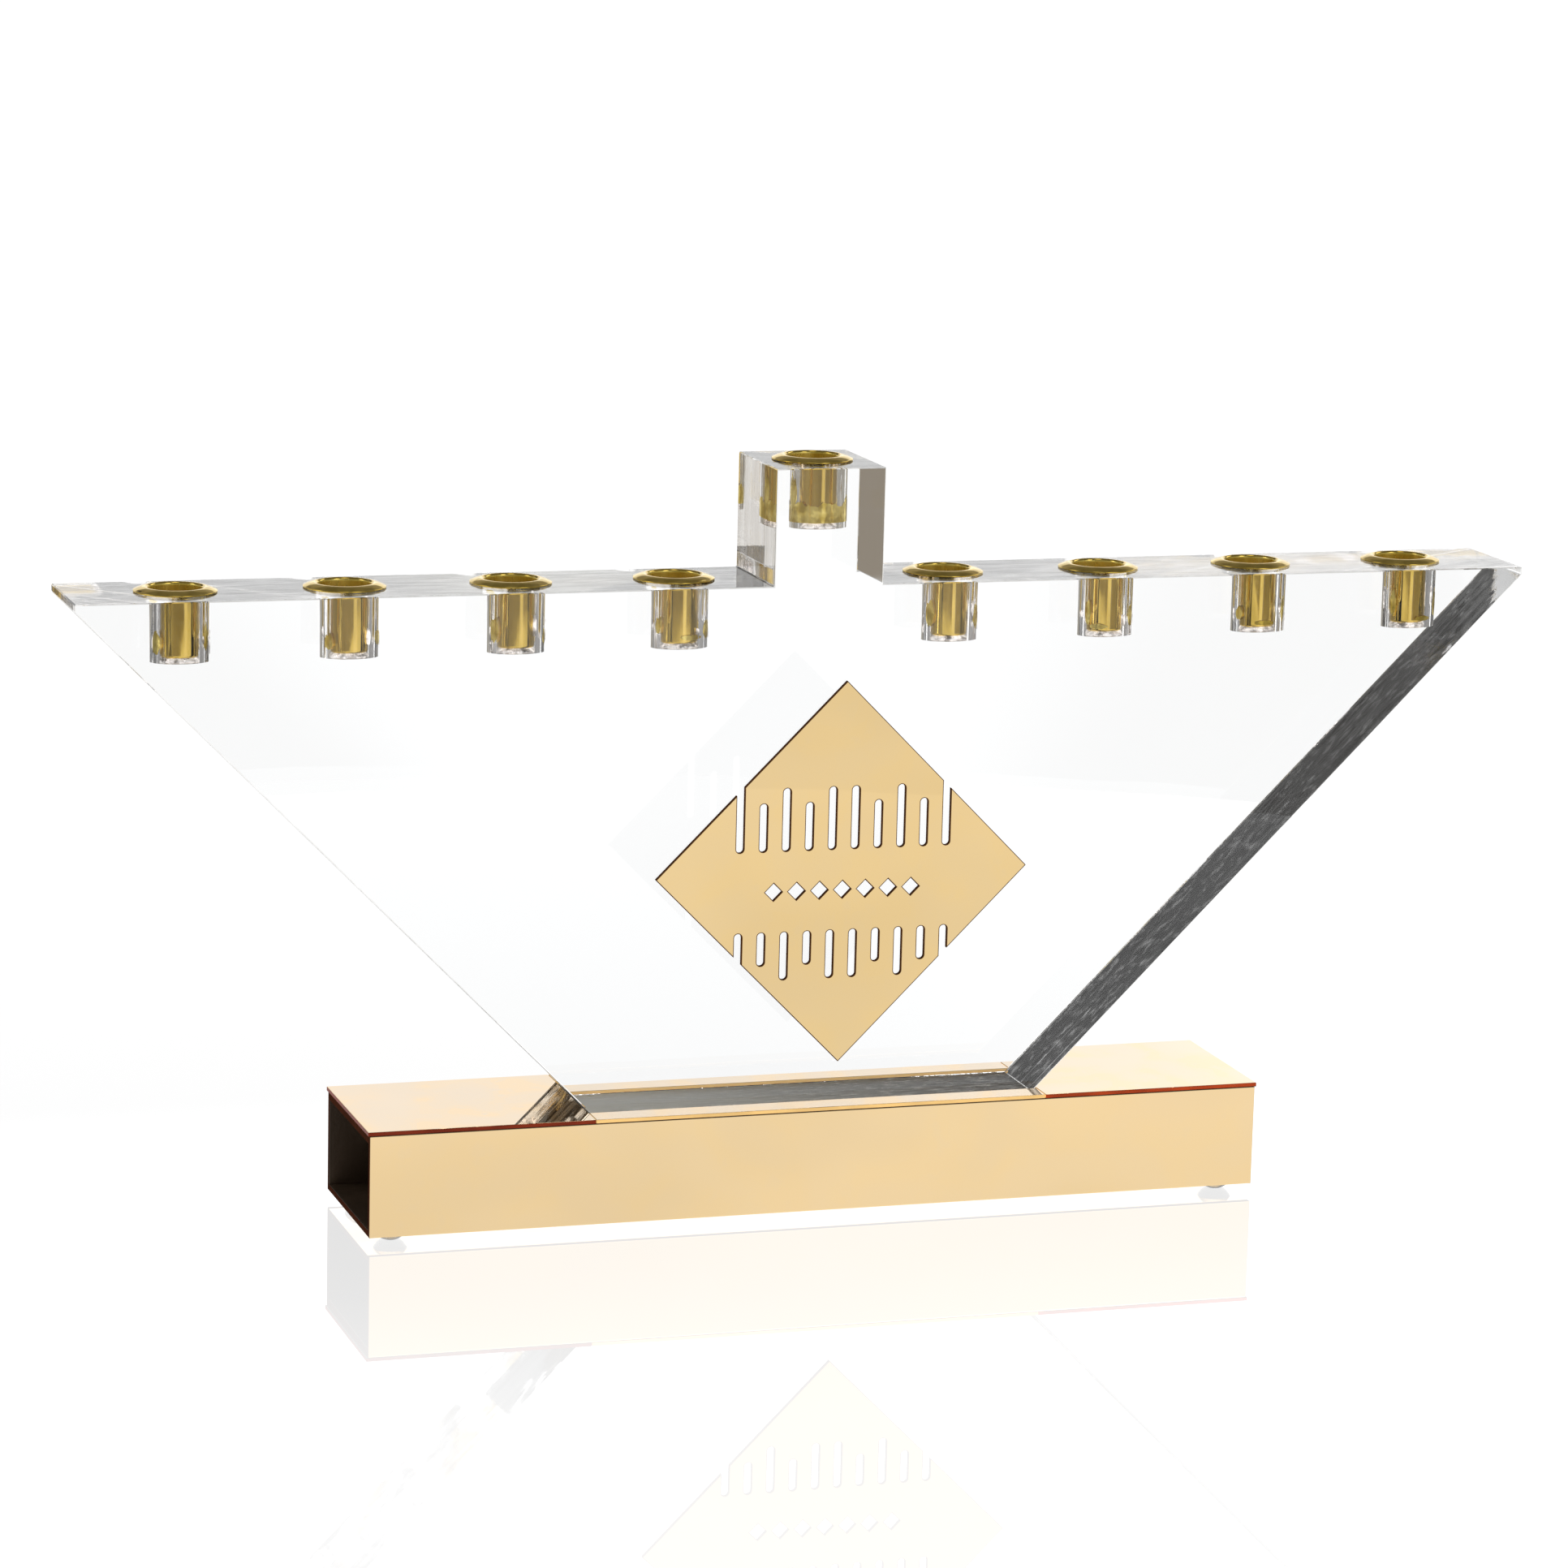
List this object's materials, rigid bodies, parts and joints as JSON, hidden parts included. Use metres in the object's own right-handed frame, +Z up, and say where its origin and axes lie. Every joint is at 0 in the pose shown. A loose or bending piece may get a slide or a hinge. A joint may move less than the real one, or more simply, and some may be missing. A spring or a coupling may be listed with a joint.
{
  "type": "menorah",
  "caption": "Clear acrylic slab with two tapering arms and a raised middle block, candle cups let into its top, a gold mirror diamond on its front and a gold mirror box base.",
  "frame": {"origin": "middle of the footprint, at the height of the bumpers' soles", "axes": "+X along the arms to the right as seen from the front, -Y to the front with the plaque, +Z up"},
  "size_m": [0.35, 0.043, 0.178],
  "materials": {
    "clear_acrylic": "polished clear cast acrylic, sawn faces flame polished",
    "gold_mirror_plaque": "gold second-surface mirror acrylic, laser cut",
    "gold_mirror_panel": "gold second-surface mirror acrylic, brown backing inside",
    "gold_mirror_top": "gold second-surface mirror acrylic, edges dark red",
    "brass_cup": "pressed and gold plated, glossy",
    "brown_backing": "dark brown mirror backing",
    "grey_plate": "grey mirror backing under the cement",
    "clear_bumper": "clear soft bumper",
    "cement": "clear acrylic cement with fine bubbles"
  },
  "bodies": {
    "root": {"acrylic_body": "clear_acrylic", "plaque": "gold_mirror_plaque", "cup_1": "brass_cup", "cup_2": "brass_cup", "cup_3": "brass_cup", "cup_4": "brass_cup", "cup_5": "brass_cup", "cup_6": "brass_cup", "cup_7": "brass_cup", "cup_8": "brass_cup", "shamash_cup": "brass_cup", "front_panel": "gold_mirror_panel", "back_panel": "gold_mirror_panel", "bottom_panel": "brown_backing", "inner_plate": "grey_plate", "left_cover": "gold_mirror_top", "right_cover": "gold_mirror_top", "front_strip": "gold_mirror_top", "back_strip": "gold_mirror_top", "foot_front_left": "clear_bumper", "foot_front_right": "clear_bumper", "foot_back_left": "clear_bumper", "foot_back_right": "clear_bumper", "body_cement": "cement", "cup_cement": "cement"}
  },
  "joints": []
}
